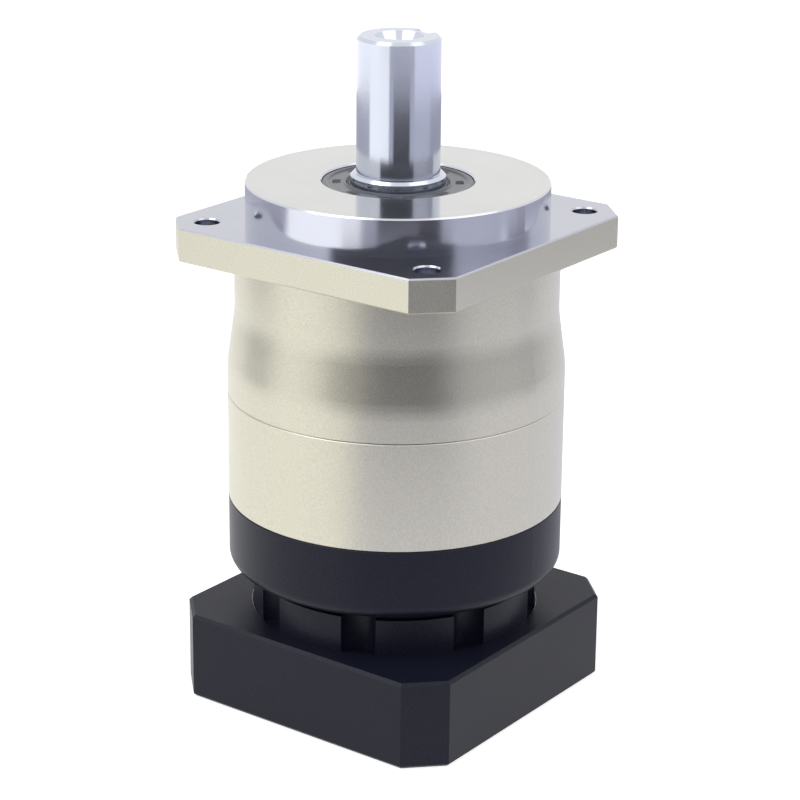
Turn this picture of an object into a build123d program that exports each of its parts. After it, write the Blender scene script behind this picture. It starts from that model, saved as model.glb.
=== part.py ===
from build123d import *
from math import atan, cos, degrees, hypot, pi, radians, sin, sqrt, tan
import os

# Heights of the visible stack, from the motor face upwards
adapter_height = 24.0
tool_gap_height = 12.3
input_ring_height = 19.2
ring_gear_height = 29.2
output_body_height = 38.3
flange_thickness = 9.0
pilot_height = 10.0
shoulder_height = 12.0
shaft_length = 36.0

# Body, flange and pilot, which all follow the frame size
frame_size = 90.0
neck_step = 2.0
pilot_step = 5.0
flange_hole_offset = 5.0
flare_bottom = 8.3
flare_height = 14.0
flare_blend = 30.0
flange_corner_cut = 8.25
flange_hole_diameter = 6.6
flange_hole_count = 4
edge_break = 0.4
seam_break = 0.25

# Output shaft
shaft_diameter = 22.0
shaft_end_chamfer = 0.8
seal_seat_diameter = 25.0
seal_seat_chamfer = 0.8
keyway_width = 6.0
keyway_depth = 3.5
keyway_length = 28.0
keyway_angle = 79.0
centre_tap_diameter = 6.8
centre_tap_depth = 24.0
centre_relief_diameter = 8.4
centre_relief_depth = 3.3
centre_mouth_diameter = 12.6
centre_cone_angle = 60.0

# Motor adapter
adapter_wall = 5.5
adapter_corner_cut = 9.0
adapter_edge_break = 0.8
motor_pilot_diameter = 70.0
motor_pilot_depth = 5.0
motor_hole_circle = 90.0
motor_hole_diameter = 5.0
motor_hole_depth = 15.0
motor_hole_count = 4
motor_shaft_diameter = 19.0
motor_shaft_depth = 36.0
coupling_room_diameter = 50.0
register_depth = 6.0
access_hole_diameter = 10.0
plug_length = 6.0
plug_inset = 0.6
plug_hex = 5.0
plug_hex_depth = 3.0

# Fluted spigot and black ring of the input housing
spigot_step = 6.5
ring_edge_radius = 3.6
undercut_height = 2.7
undercut_depth = 1.5
flute_diameter = 9.4
flute_floor_height = 0.8
input_web = 2.5

# Screws through the housings and into the adapter
housing_screw_count = 8
housing_screw_start = 22.5
housing_screw_diameter = 4.0
housing_screw_head = 7.0
housing_screw_head_height = 4.0
housing_screw_grip = 10.0
housing_screw_sink = 1.0
screw_land = 0.5
adapter_screw_count = 4
adapter_screw_circle = 60.0
adapter_screw_diameter = 5.0
adapter_screw_head = 8.5
adapter_screw_head_height = 5.0
adapter_screw_grip = 9.0
adapter_screw_web = 7.5
screw_socket_share = 0.6
counterbore_room = 0.3

# Helical teeth, whose depths are shares of the module
frame_per_module = 72.0
helix_angle = 15.0
pressure_angle = 20.0
ring_teeth = 48
input_sun_teeth = 12
output_sun_teeth = 16
tooth_tip_share = 0.88
tooth_root_share = 1.16
ring_tooth_tip_share = 0.8
flank_gap = 0.09
spigot_wall = 3.8
gear_spigot_length = 4.0

# Planet stages
input_planet_count = 3
output_planet_count = 4
output_planet_start = 45.0
input_planet_start = 30.0
input_planet_width = 10.0
output_planet_width = 12.0
input_pin_diameter = 8.0
output_pin_diameter = 9.0
pin_seat = 4.0
input_post_diameter = 10.0
input_post_inset = 1.75
input_rivet_diameter = 6.0
output_roof_wall = 1.8
clamp_ring_gap = 1.0
input_carrier_plate = 4.0
input_carrier_foot = 3.5
output_carrier_floor = 4.2
output_carrier_roof = 6.0
carrier_gap = 0.8
window_gap = 0.6
stage_washer_thickness = 1.4
stage_washer_width = 3.0
input_foot_bore = 24.0
input_cavity_room = 2.5
housing_relief = 2.0
sun_overhang = 0.7
sun_neck_relief = 0.4

# Output bearings, seal and their rings
front_bearing_bore = 30.0
front_bearing_outside = 47.0
front_bearing_width = 12.0
front_roller_count = 14
front_roller_diameter = 4.2
rear_bearing_bore = 40.0
rear_bearing_outside = 62.0
rear_bearing_width = 15.0
rear_roller_count = 16
rear_roller_diameter = 5.2
roller_angle = 11.0
roller_length_share = 0.72
cage_thickness = 1.0
shaft_clip_thickness = 1.5
shaft_clip_depth = 0.8
shaft_clip_height = 3.0
rear_hub_height = 1.5
seal_outside = 40.0
seal_width = 7.0
seal_inset = 0.5
seal_lip_wall = 2.2
seal_land = 4.2

# Input shaft, its bearing and its seal
input_seat_diameter = 30.0
input_bearing_outside = 47.0
input_bearing_width = 9.0
input_seal_outside = 42.0
input_seal_width = 7.0
input_seal_inset = 3.0
input_ring_width = 2.6
input_ball_diameter = 4.7
input_ball_count = 9
input_cage_height = 5.8
input_shield_thickness = 0.9
input_shield_inset = 0.2
housing_clip_thickness = 1.75
housing_clip_depth = 1.25
housing_clip_width = 4.0
input_clip_thickness = 1.5
input_clip_depth = 0.7
input_clip_height = 2.6
input_shoulder_width = 2.0
input_shoulder_height = 5.0
hub_diameter = 28.0
hub_end = 5.3
hub_slot_width = 1.2
hub_slot_count = 4
collar_diameter = 44.0
collar_width = 11.0
collar_slot_width = 2.0
clamp_screw_diameter = 5.0
clamp_screw_head = 8.5
clamp_screw_head_height = 5.0
clamp_screw_length = 16.0
clamp_head_seat = 6.0
clamp_screw_land = 0.5
collar_inset = 0.5

# Fits: press_gap is the radial gap of a seated fit, run_gap of a running one
press_gap = 0.01
run_gap = 0.03
roller_gap = 0.05
face_gap = 0.3

# Widths worked out from the frame size
body_radius = frame_size / 2
neck_radius = body_radius - neck_step
pilot_radius = body_radius - pilot_step
spigot_radius = body_radius - spigot_step
flange_hole_circle = frame_size + 2 * flange_hole_offset
adapter_width = 2 * (spigot_radius + adapter_wall)
roller_slope = radians(roller_angle)

# How far a cut runs past the face that it opens
cut_past = 1.0

# Levels worked out from the stack
adapter_top = adapter_height
ring_underside = adapter_top + tool_gap_height
input_seam = ring_underside + input_ring_height
output_seam = input_seam + ring_gear_height
flange_bottom = output_seam + output_body_height
flange_top = flange_bottom + flange_thickness
pilot_top = flange_top + pilot_height
shoulder_top = flange_top + shoulder_height
shaft_top = shoulder_top + shaft_length

# Gear geometry in the plane of rotation
normal_module = frame_size / frame_per_module
tooth_tip = tooth_tip_share * normal_module
tooth_root = tooth_root_share * normal_module
ring_tooth_tip = ring_tooth_tip_share * normal_module
transverse_module = normal_module / cos(radians(helix_angle))
transverse_pressure = atan(tan(radians(pressure_angle)) / cos(radians(helix_angle)))
ring_pitch = transverse_module * ring_teeth / 2
ring_tip_radius = ring_pitch - ring_tooth_tip
ring_root_radius = ring_pitch + tooth_root
input_planet_teeth = (ring_teeth - input_sun_teeth) // 2
output_planet_teeth = (ring_teeth - output_sun_teeth) // 2
input_centre = transverse_module * (input_sun_teeth + input_planet_teeth) / 2
output_centre = transverse_module * (output_sun_teeth + output_planet_teeth) / 2
gear_spigot_radius = ring_root_radius + spigot_wall
housing_screw_circle = 2 * gear_spigot_radius + housing_screw_diameter + 2 * screw_land
carrier_radius = ring_tip_radius - carrier_gap
input_post_centre = carrier_radius - input_post_diameter / 2 - input_post_inset

# Levels inside, from the input bearing up to the output seal
register_floor = adapter_top - register_depth
input_seal_bottom = register_floor + input_seal_inset
input_seal_top = input_seal_bottom + input_seal_width
input_bearing_bottom = input_seal_top + input_web + face_gap
input_bearing_top = input_bearing_bottom + input_bearing_width
motor_bore_top = hub_end + motor_shaft_depth
gear_bottom = input_seam - gear_spigot_length
gear_top = output_seam + gear_spigot_length
input_foot_bottom = gear_bottom - input_carrier_foot / 2
input_planet_bottom = input_foot_bottom + input_carrier_foot + face_gap
input_planet_top = input_planet_bottom + input_planet_width
input_plate_bottom = input_planet_top + face_gap
input_plate_top = input_plate_bottom + input_carrier_plate
output_floor_bottom = input_plate_top + stage_washer_thickness + face_gap
output_planet_bottom = output_floor_bottom + output_carrier_floor + face_gap
output_planet_top = output_planet_bottom + output_planet_width
output_roof_bottom = output_planet_top + face_gap
output_roof_top = output_roof_bottom + output_carrier_roof
rear_bearing_bottom = output_roof_top + rear_hub_height
rear_bearing_top = rear_bearing_bottom + rear_bearing_width
seal_top = pilot_top - seal_inset
seal_bottom = seal_top - seal_width
shaft_clip_bottom = seal_bottom - face_gap - shaft_clip_thickness
front_bearing_top = shaft_clip_bottom
front_bearing_bottom = front_bearing_top - front_bearing_width


def save(part, name):
    """Labels one finished piece and writes it under its own name."""
    part.label = name
    export_step(part, f"parts/{name}.step")


def polar(radius, angle):
    """Point in the plane of rotation at an angle in radians."""
    return radius * cos(angle), radius * sin(angle)


def turn(points, mode=Mode.ADD):
    """Turns a (radius, height) outline about the gearbox axis into the piece in hand."""
    with BuildSketch(Plane.XZ) as profile:
        with BuildLine():
            Polyline(*points, close=True)
        make_face()
    revolve(profile.sketch, axis=Axis.Z, mode=mode)


def turn_ring(inner, outer, bottom, top, mode=Mode.ADD):
    """Turns a plain ring between two radii and two heights."""
    turn([(inner, bottom), (outer, bottom), (outer, top), (inner, top)], mode)


def bore(radius, bottom, top):
    """Bores the piece in hand on the gearbox axis between two heights."""
    with BuildSketch(Plane.XY.offset(bottom)) as hole:
        Circle(radius)
    extrude(hole.sketch, amount=top - bottom, mode=Mode.SUBTRACT)


def hole_circle(radius, circle_radius, start, count, bottom, top):
    """Drills a circle of holes between two heights, the first at a start angle in degrees."""
    with BuildSketch(Plane.XY.offset(bottom)) as holes:
        with PolarLocations(circle_radius, count, start):
            Circle(radius)
    extrude(holes.sketch, amount=top - bottom, mode=Mode.SUBTRACT)


def rim(radius, level):
    """Round edges of the piece in hand about the gearbox axis, at a radius and a height."""
    return [
        edge
        for edge in edges().filter_by(GeomType.CIRCLE)
        if abs(edge.radius - radius) < 1e-4
        and abs(edge.arc_center.Z - level) < 1e-4
        and hypot(edge.arc_center.X, edge.arc_center.Y) < 1e-4
    ]


def corner_cut_block(width, corner, bottom, height):
    """Square block with its four upright corners cut off."""
    with BuildSketch(Plane.XY.offset(bottom)) as plan:
        Rectangle(width, width)
        chamfer(plan.vertices(), corner)
    extrude(plan.sketch, amount=height)


def block_edges(reach, levels):
    """Straight level edges of the piece in hand that lie further out than reach."""
    return [
        edge
        for edge in edges().filter_by(GeomType.LINE)
        if hypot(edge.center().X, edge.center().Y) > reach
        and abs(edge.tangent_at(0.5).Z) < 1e-6
        and min(abs(edge.center().Z - level) for level in levels) < 1e-4
    ]


def involute(radius, base):
    """Involute function at a radius, 0 on the base circle."""
    roll = sqrt(max((radius / base) ** 2 - 1, 0))
    return roll - atan(roll)


def gear_section(teeth, tip, root, thinning, spin, plane):
    """Section across a gear: involute flanks, flat tips and flat root lands.

    thinning is the arc taken off each flank at the pitch circle, and below the
    base circle each flank goes straight in to the root.
    """
    pitch = transverse_module * teeth / 2
    base = pitch * cos(transverse_pressure)
    half_tooth = pi / (2 * teeth) - thinning / pitch + involute(pitch, base)
    start = max(root, base)
    steps = [start + (tip - start) * share for share in (0, 0.16, 0.52, 1)]
    flank = [(radius, half_tooth - involute(radius, base)) for radius in steps]
    foot = flank[0][1]
    with BuildSketch(plane) as section:
        with BuildLine():
            for tooth in range(teeth):
                centre = spin + 2 * pi * tooth / teeth
                rising = [polar(radius, centre - half) for radius, half in flank]
                falling = [polar(radius, centre + half) for radius, half in reversed(flank)]
                foot_in = polar(root, centre - foot)
                foot_out = polar(root, centre + foot)
                if root < start:
                    Line(foot_in, rising[0])
                    Line(falling[-1], foot_out)
                Spline(*rising)
                Line(rising[-1], falling[0])
                Spline(*falling)
                Line(foot_out, polar(root, centre + 2 * pi / teeth - foot))
        make_face()
    return section.sketch.face()


def helical(teeth, tip, root, thinning, spin, hand, centre, bottom, top):
    """Helical gear: its section swept up the axis at centre while it turns.

    spin is the angle of a tooth at the level gear_bottom, and hand is 1 or -1.
    """
    lead = hand * tan(radians(helix_angle)) / (transverse_module * teeth / 2)
    start = spin + lead * (bottom - gear_bottom)
    plane = Plane(origin=(*centre, bottom))
    section = gear_section(teeth, tip, root, thinning, start, plane)
    height = top - bottom
    return Solid.extrude_linear_with_rotation(
        section, (*centre, bottom), (0, 0, height), degrees(lead * height)
    )


def planet_spin(place, teeth):
    """Angle of the planet's tooth that meets the ring, whose spaces count from angle 0."""
    pitch_angle = 2 * pi / ring_teeth
    offset = pitch_angle * round(place / pitch_angle) - place
    return place + offset * ring_teeth / teeth


def sun_spin(place, planet_teeth, teeth):
    """Angle of the sun's tooth that meets a space of the planet at place."""
    pitch_angle = 2 * pi / planet_teeth
    space = planet_spin(place, planet_teeth) + pitch_angle / 2
    inward = place + pi
    offset = space + pitch_angle * round((inward - space) / pitch_angle) - inward
    return place - offset * planet_teeth / teeth


def external_gear(teeth, spin, hand, centre, bottom, top):
    """Planet or sun with the shared tooth depth and backlash."""
    pitch = transverse_module * teeth / 2
    tip, root = pitch + tooth_tip, pitch - tooth_root
    return helical(teeth, tip, root, flank_gap, spin, hand, centre, bottom, top)


def places(start, count):
    """Angles in radians of places spread evenly round the axis, from a start in degrees."""
    return [radians(start) + 2 * pi * n / count for n in range(count)]


def socket_screw(diameter, head, head_height, length, plane):
    """Socket head screw into the piece in hand, its head's underside on a plane."""
    with BuildSketch(plane) as cap:
        Circle(head / 2)
    extrude(cap.sketch, amount=-head_height)
    with BuildSketch(plane) as shank:
        Circle(diameter / 2)
    extrude(shank.sketch, amount=length)
    with BuildSketch(plane.offset(-head_height)) as socket:
        RegularPolygon(diameter * screw_socket_share, 6, major_radius=False)
    extrude(socket.sketch, amount=head_height * screw_socket_share, mode=Mode.SUBTRACT)


class TaperedBearing:
    """Sizes of a tapered roller bearing, whose surfaces all meet in one apex.

    upward is 1 where the rollers' large ends point along +Z, and -1 where they don't.
    """

    def __init__(self, bore, outside, width, bottom, roller, count, upward):
        self.bore, self.outside, self.width = bore / 2, outside / 2, width
        self.middle, self.count, self.upward = bottom + width / 2, count, upward
        self.pitch = (bore + outside) / 4
        self.taper = atan(roller / 2 * sin(roller_slope) / self.pitch)
        self.apex = self.pitch / tan(roller_slope)
        self.reach = width * roller_length_share / 2
        self.rib = roller / 4
        self.lean = roller / 2 * sin(roller_slope)

    def level(self, along):
        """Height of a place on the axis, counted from the middle to the large end."""
        return self.middle + self.upward * along

    def cup_radius(self, along):
        """Radius of the cup's raceway."""
        return (self.apex + along) * tan(roller_slope + self.taper) + roller_gap

    def cone_radius(self, along):
        """Radius of the cone's raceway."""
        return (self.apex + along) * tan(roller_slope - self.taper) - roller_gap

    def cup(self):
        """Outline of the outer ring."""
        half = self.width / 2
        outline = [(self.outside, -half), (self.outside, half)]
        outline += [(self.cup_radius(half), half), (self.cup_radius(-half), -half)]
        return [(radius, self.level(along)) for radius, along in outline]

    def cone(self):
        """Outline of the inner ring, with a rib at each end of the rollers."""
        half, small_end = self.width / 2, -self.reach - 2 * roller_gap
        large_end = self.reach + self.lean + 2 * roller_gap
        low, high = self.cone_radius(small_end), self.cone_radius(large_end)
        outline = [(self.bore, -half), (low + self.rib, -half), (low + self.rib, small_end)]
        outline += [(low, small_end), (high, large_end), (high + self.rib, large_end)]
        outline += [(high + self.rib, half), (self.bore, half)]
        return [(radius, self.level(along)) for radius, along in outline]

    def rollers(self, extra, mode=Mode.ADD):
        """Tapered rollers, larger by extra all round, in the piece in hand."""
        reach = self.reach + extra
        for angle in places(0, self.count):
            radial = self.upward * tan(roller_slope)
            axis = Vector(*polar(radial, angle), 1).normalized()
            middle = Vector(*polar(self.pitch, angle), self.middle)
            ends = [
                (self.pitch / sin(roller_slope) + self.upward * side) * tan(self.taper) + extra
                for side in (-reach, reach)
            ]
            with Locations(Plane(origin=middle, z_dir=axis)):
                Cone(*ends, 2 * reach, mode=mode)

    def cage(self):
        """Outline of the cage, a thin tapered band midway between the raceways."""
        reach = self.width / 2 - cage_thickness / 2
        mid = [(self.apex + along) * tan(roller_slope) for along in (-reach, reach)]
        half = cage_thickness / 2
        outline = [(mid[0] - half, -reach), (mid[0] + half, -reach)]
        outline += [(mid[1] + half, reach), (mid[1] - half, reach)]
        return [(radius, self.level(along)) for radius, along in outline]


os.makedirs("parts", exist_ok=True)

# Output housing: flange, pilot, neck and flare in one piece
rear_bore_top = rear_bearing_top + housing_relief
with BuildPart() as output_housing:
    with BuildSketch(Plane.XZ):
        with BuildLine():
            Polyline(
                (0, output_seam),
                (body_radius, output_seam),
                (body_radius, output_seam + flare_bottom),
                (neck_radius, output_seam + flare_bottom + flare_height),
                (neck_radius, flange_top),
                (pilot_radius, flange_top),
                (pilot_radius, pilot_top),
                (0, pilot_top),
                close=True,
            )
        make_face()
        flare = [v for v in vertices() if output_seam < v.Y < flange_bottom]
        fillet(flare, flare_blend)
    revolve(axis=Axis.Z)
    corner_cut_block(frame_size, flange_corner_cut, flange_bottom, flange_thickness)
    chamfer(block_edges(pilot_radius, (flange_bottom, flange_top)), edge_break)
    bore(gear_spigot_radius + press_gap, output_seam, rear_bearing_bottom)
    bore(rear_bearing_outside / 2 + press_gap, rear_bearing_bottom, rear_bore_top)
    bore(front_bearing_outside / 2 + press_gap, rear_bore_top, front_bearing_top)
    bore(seal_outside / 2 + press_gap, front_bearing_top, pilot_top)
    chamfer(rim(pilot_radius, pilot_top), edge_break)
    chamfer(rim(seal_outside / 2 + press_gap, pilot_top), edge_break)
    chamfer(rim(body_radius, output_seam), seam_break)
    with Locations(Plane.XY.offset(flange_top)):
        with PolarLocations(flange_hole_circle / 2, flange_hole_count, 45):
            CounterSinkHole(
                flange_hole_diameter / 2,
                flange_hole_diameter / 2 + edge_break,
                depth=flange_thickness,
                counter_sink_angle=90,
            )
    hole_circle(
        housing_screw_diameter / 2 + press_gap,
        housing_screw_circle / 2,
        housing_screw_start,
        housing_screw_count,
        output_seam,
        output_seam + housing_screw_grip,
    )
save(output_housing.part, "output_housing")

# Ring gear housing: both stages' planets run in its one row of internal teeth
with BuildPart() as ring_gear_housing:
    turn(
        [
            (0, gear_bottom),
            (gear_spigot_radius, gear_bottom),
            (gear_spigot_radius, input_seam),
            (body_radius - seam_break, input_seam),
            (body_radius, input_seam + seam_break),
            (body_radius, output_seam - seam_break),
            (body_radius - seam_break, output_seam),
            (gear_spigot_radius, output_seam),
            (gear_spigot_radius, gear_top),
            (0, gear_top),
        ]
    )
    tooth_core = helical(
        ring_teeth,
        ring_root_radius,
        ring_tip_radius,
        -flank_gap,
        0,
        1,
        (0, 0),
        gear_bottom - cut_past,
        gear_top + cut_past,
    )
    add(tooth_core, mode=Mode.SUBTRACT)
    hole_circle(
        housing_screw_diameter / 2 + counterbore_room,
        housing_screw_circle / 2,
        housing_screw_start,
        housing_screw_count,
        input_seam,
        output_seam,
    )
save(ring_gear_housing.part, "ring_gear_housing")

# Input housing: black ring above a spigot whose flutes lead to the screw heads
flute_floor = adapter_top - flute_floor_height
screw_seat = ring_underside + housing_screw_sink + housing_screw_head_height
cavity_bottom = input_bearing_top + housing_clip_thickness + input_clip_depth
with BuildPart() as input_housing:
    turn(
        [
            (0, register_floor),
            (spigot_radius, register_floor),
            (spigot_radius, ring_underside - undercut_height),
            (spigot_radius - undercut_depth, ring_underside - undercut_height),
            (spigot_radius - undercut_depth, ring_underside),
            (body_radius, ring_underside),
            (body_radius, input_seam - seam_break),
            (body_radius - seam_break, input_seam),
            (0, input_seam),
        ]
    )
    fillet(rim(body_radius, ring_underside), ring_edge_radius)
    bore(input_seal_outside / 2 + press_gap, register_floor, input_seal_top)
    bore(input_seat_diameter / 2 + input_web, input_seal_top, input_bearing_bottom)
    bore(input_bearing_outside / 2 + press_gap, input_bearing_bottom, cavity_bottom)
    bore(
        input_bearing_outside / 2 + housing_clip_depth,
        input_bearing_top,
        input_bearing_top + housing_clip_thickness + press_gap,
    )
    bore(carrier_radius + input_cavity_room, cavity_bottom, gear_bottom)
    bore(gear_spigot_radius + press_gap, gear_bottom, input_seam)
    hole_circle(
        flute_diameter / 2,
        housing_screw_circle / 2,
        housing_screw_start,
        housing_screw_count,
        flute_floor,
        ring_underside,
    )
    hole_circle(
        housing_screw_head / 2 + counterbore_room,
        housing_screw_circle / 2,
        housing_screw_start,
        housing_screw_count,
        ring_underside,
        screw_seat,
    )
    hole_circle(
        housing_screw_diameter / 2 + counterbore_room,
        housing_screw_circle / 2,
        housing_screw_start,
        housing_screw_count,
        screw_seat,
        input_seam,
    )
    hole_circle(
        adapter_screw_diameter / 2 + press_gap,
        adapter_screw_circle / 2,
        0,
        adapter_screw_count,
        register_floor,
        register_floor + adapter_screw_grip + cut_past,
    )
save(input_housing.part, "input_housing")

# Motor adapter: square plate that centres the motor below and the spigot above
collar_bottom = hub_end + collar_inset
clamp_level = collar_bottom + collar_width / 2
clamp_reach = (hub_diameter + clamp_screw_diameter) / 2 + clamp_screw_land
adapter_seat = register_floor - adapter_screw_web
with BuildPart() as motor_adapter:
    corner_cut_block(adapter_width, adapter_corner_cut, 0, adapter_height)
    chamfer(block_edges(0, (0, adapter_height)), adapter_edge_break)
    bore(motor_pilot_diameter / 2 + press_gap, 0, motor_pilot_depth)
    bore(coupling_room_diameter / 2, motor_pilot_depth, register_floor)
    bore(spigot_radius + press_gap, register_floor, adapter_top)
    chamfer(rim(spigot_radius + press_gap, adapter_top), edge_break)
    chamfer(rim(motor_pilot_diameter / 2 + press_gap, 0), edge_break)
    hole_circle(
        motor_hole_diameter / 2, motor_hole_circle / 2, 45, motor_hole_count, 0, motor_hole_depth
    )
    hole_circle(
        adapter_screw_diameter / 2 + counterbore_room,
        adapter_screw_circle / 2,
        0,
        adapter_screw_count,
        motor_pilot_depth,
        register_floor,
    )
    hole_circle(
        adapter_screw_head / 2 + counterbore_room,
        adapter_screw_circle / 2,
        0,
        adapter_screw_count,
        motor_pilot_depth,
        adapter_seat,
    )
    with BuildSketch(Plane(origin=(-adapter_width / 2, clamp_reach, clamp_level), z_dir=(1, 0, 0))):
        Circle(access_hole_diameter / 2)
    extrude(amount=adapter_width / 2, mode=Mode.SUBTRACT)
save(motor_adapter.part, "motor_adapter")

# Plug that closes the way in to the clamp screw
plug_face = plug_inset - adapter_width / 2
with BuildPart() as access_plug:
    with BuildSketch(Plane(origin=(plug_face, clamp_reach, clamp_level), z_dir=(1, 0, 0))):
        Circle(access_hole_diameter / 2 - press_gap)
    extrude(amount=plug_length)
    with BuildSketch(Plane(origin=(plug_face, clamp_reach, clamp_level), z_dir=(1, 0, 0))):
        RegularPolygon(plug_hex / 2, 6, major_radius=False)
    extrude(amount=plug_hex_depth, mode=Mode.SUBTRACT)
save(access_plug.part, "access_plug")

# Screws: eight long ones hold the housings together, four hold the adapter
housing_screw_length = output_seam + housing_screw_grip - cut_past - screw_seat
with BuildPart() as housing_screws:
    for angle in places(housing_screw_start, housing_screw_count):
        seat = Plane(origin=(*polar(housing_screw_circle / 2, angle), screw_seat))
        socket_screw(
            housing_screw_diameter,
            housing_screw_head,
            housing_screw_head_height,
            housing_screw_length,
            seat,
        )
save(housing_screws.part, "housing_screws")

with BuildPart() as adapter_screws:
    for angle in places(0, adapter_screw_count):
        seat = Plane(origin=(*polar(adapter_screw_circle / 2, angle), adapter_seat))
        socket_screw(
            adapter_screw_diameter,
            adapter_screw_head,
            adapter_screw_head_height,
            adapter_screw_web + adapter_screw_grip,
            seat,
        )
save(adapter_screws.part, "adapter_screws")

# Output bearings: two tapered roller bearings face to face
front_bearing = TaperedBearing(
    front_bearing_bore,
    front_bearing_outside,
    front_bearing_width,
    front_bearing_bottom,
    front_roller_diameter,
    front_roller_count,
    -1,
)
rear_bearing = TaperedBearing(
    rear_bearing_bore,
    rear_bearing_outside,
    rear_bearing_width,
    rear_bearing_bottom,
    rear_roller_diameter,
    rear_roller_count,
    1,
)
for name, bearing in (("front_bearing", front_bearing), ("rear_bearing", rear_bearing)):
    with BuildPart() as cup:
        turn(bearing.cup())
    save(cup.part, f"{name}_cup")
    with BuildPart() as cone:
        turn(bearing.cone())
    save(cone.part, f"{name}_cone")
    with BuildPart() as rollers:
        bearing.rollers(0)
    save(rollers.part, f"{name}_rollers")
    with BuildPart() as cage:
        turn(bearing.cage())
        bearing.rollers(roller_gap, Mode.SUBTRACT)
    save(cage.part, f"{name}_cage")

# Ring that the ring gear's spigot presses against the rear cup
output_roof_radius = output_centre + output_pin_diameter / 2 + output_roof_wall
with BuildPart() as bearing_clamp_ring:
    turn_ring(
        output_roof_radius + clamp_ring_gap, gear_spigot_radius, gear_top, rear_bearing_bottom
    )
save(bearing_clamp_ring.part, "bearing_clamp_ring")

# Output seal: a rubber ring with a stiff outer wall and a lip on the shaft
seal_radius = seal_outside / 2
lip_radius = seal_seat_diameter / 2 + run_gap
with BuildPart() as output_seal:
    turn(
        [
            (seal_radius, seal_bottom),
            (seal_radius, seal_top),
            (lip_radius + seal_land + seal_lip_wall / 2, seal_top),
            (lip_radius + seal_land, seal_top - seal_lip_wall / 2),
            (lip_radius + seal_lip_wall / 2, seal_top - seal_lip_wall / 2),
            (lip_radius, seal_top - seal_lip_wall / 4),
            (lip_radius, seal_bottom + seal_lip_wall),
            (lip_radius + seal_lip_wall, seal_bottom + seal_lip_wall),
            (lip_radius + seal_lip_wall, seal_top - 2 * seal_lip_wall),
            (seal_radius - seal_lip_wall, seal_top - 2 * seal_lip_wall),
            (seal_radius - seal_lip_wall, seal_bottom),
        ]
    )
save(output_seal.part, "output_seal")

# Output shaft and output planet carrier in one piece
clip_groove = front_bearing_bore / 2 - shaft_clip_depth
seal_step = shaft_clip_bottom + shaft_clip_thickness + press_gap
pocket_radius = transverse_module * output_sun_teeth / 2 + tooth_tip + window_gap
window_radius = transverse_module * output_planet_teeth / 2 + tooth_tip + window_gap
rear_shoulder = rear_bearing.cone()[1][0] - press_gap
with BuildPart() as output_carrier:
    turn(
        [
            (0, output_floor_bottom),
            (carrier_radius, output_floor_bottom),
            (carrier_radius, output_roof_bottom),
            (output_roof_radius, output_roof_bottom),
            (output_roof_radius, output_roof_top),
            (rear_shoulder, output_roof_top),
            (rear_shoulder, rear_bearing_bottom),
            (rear_bearing_bore / 2 - press_gap, rear_bearing_bottom),
            (rear_bearing_bore / 2 - press_gap, rear_bearing_top - face_gap),
            (front_bearing_bore / 2 - press_gap, rear_bearing_top - face_gap),
            (front_bearing_bore / 2 - press_gap, shaft_clip_bottom),
            (clip_groove, shaft_clip_bottom),
            (clip_groove, seal_step),
            (front_bearing_bore / 2 - press_gap, seal_step),
            (front_bearing_bore / 2 - press_gap, seal_bottom),
            (seal_seat_diameter / 2, seal_bottom),
            (seal_seat_diameter / 2, shoulder_top - seal_seat_chamfer),
            (seal_seat_diameter / 2 - seal_seat_chamfer, shoulder_top),
            (shaft_diameter / 2, shoulder_top),
            (shaft_diameter / 2, shaft_top - shaft_end_chamfer),
            (shaft_diameter / 2 - shaft_end_chamfer, shaft_top),
            (0, shaft_top),
        ]
    )
    bore(pocket_radius, output_floor_bottom, output_roof_bottom)
    hole_circle(
        window_radius,
        output_centre,
        output_planet_start,
        output_planet_count,
        output_planet_bottom - face_gap,
        output_roof_bottom,
    )
    hole_circle(
        output_pin_diameter / 2 + press_gap,
        output_centre,
        output_planet_start,
        output_planet_count,
        output_floor_bottom,
        output_roof_bottom + pin_seat,
    )
    with BuildSketch(Plane.XZ):
        with BuildLine():
            mouth = (centre_mouth_diameter - centre_relief_diameter) / 2
            cone_depth = mouth / tan(radians(centre_cone_angle / 2))
            relief_bottom = shaft_top - cone_depth - centre_relief_depth
            Polyline(
                (0, shaft_top),
                (centre_mouth_diameter / 2, shaft_top),
                (centre_relief_diameter / 2, shaft_top - cone_depth),
                (centre_relief_diameter / 2, relief_bottom),
                (centre_tap_diameter / 2, relief_bottom),
                (centre_tap_diameter / 2, shaft_top - centre_tap_depth),
                (0, shaft_top - centre_tap_depth - centre_tap_diameter / 4),
                close=True,
            )
        make_face()
    revolve(axis=Axis.Z, mode=Mode.SUBTRACT)
    keyway_side = Vector(*polar(1, radians(keyway_angle)), 0)
    floor = keyway_side * (shaft_diameter / 2 - keyway_depth)
    floor_plane = Plane(origin=(floor.X, floor.Y, shaft_top), x_dir=(0, 0, -1), z_dir=keyway_side)
    with BuildSketch(floor_plane):
        with Locations((keyway_length / 2 - keyway_width / 4, 0)):
            Rectangle(keyway_length - keyway_width / 2, keyway_width)
        with Locations((keyway_length - keyway_width / 2, 0)):
            Circle(keyway_width / 2)
    extrude(amount=keyway_depth + cut_past, mode=Mode.SUBTRACT)
save(output_carrier.part, "output_carrier")

# Spacer between the two inner rings
spacer_radius = (rear_bearing_bore / 2 + rear_bearing.cone()[-2][0]) / 2
with BuildPart() as bearing_spacer:
    turn(
        [
            (front_bearing_bore / 2 + press_gap, rear_bearing_top),
            (spacer_radius, rear_bearing_top),
            (front_bearing.cone()[-2][0], front_bearing_bottom),
            (front_bearing_bore / 2 + press_gap, front_bearing_bottom),
        ]
    )
save(bearing_spacer.part, "bearing_spacer")


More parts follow.
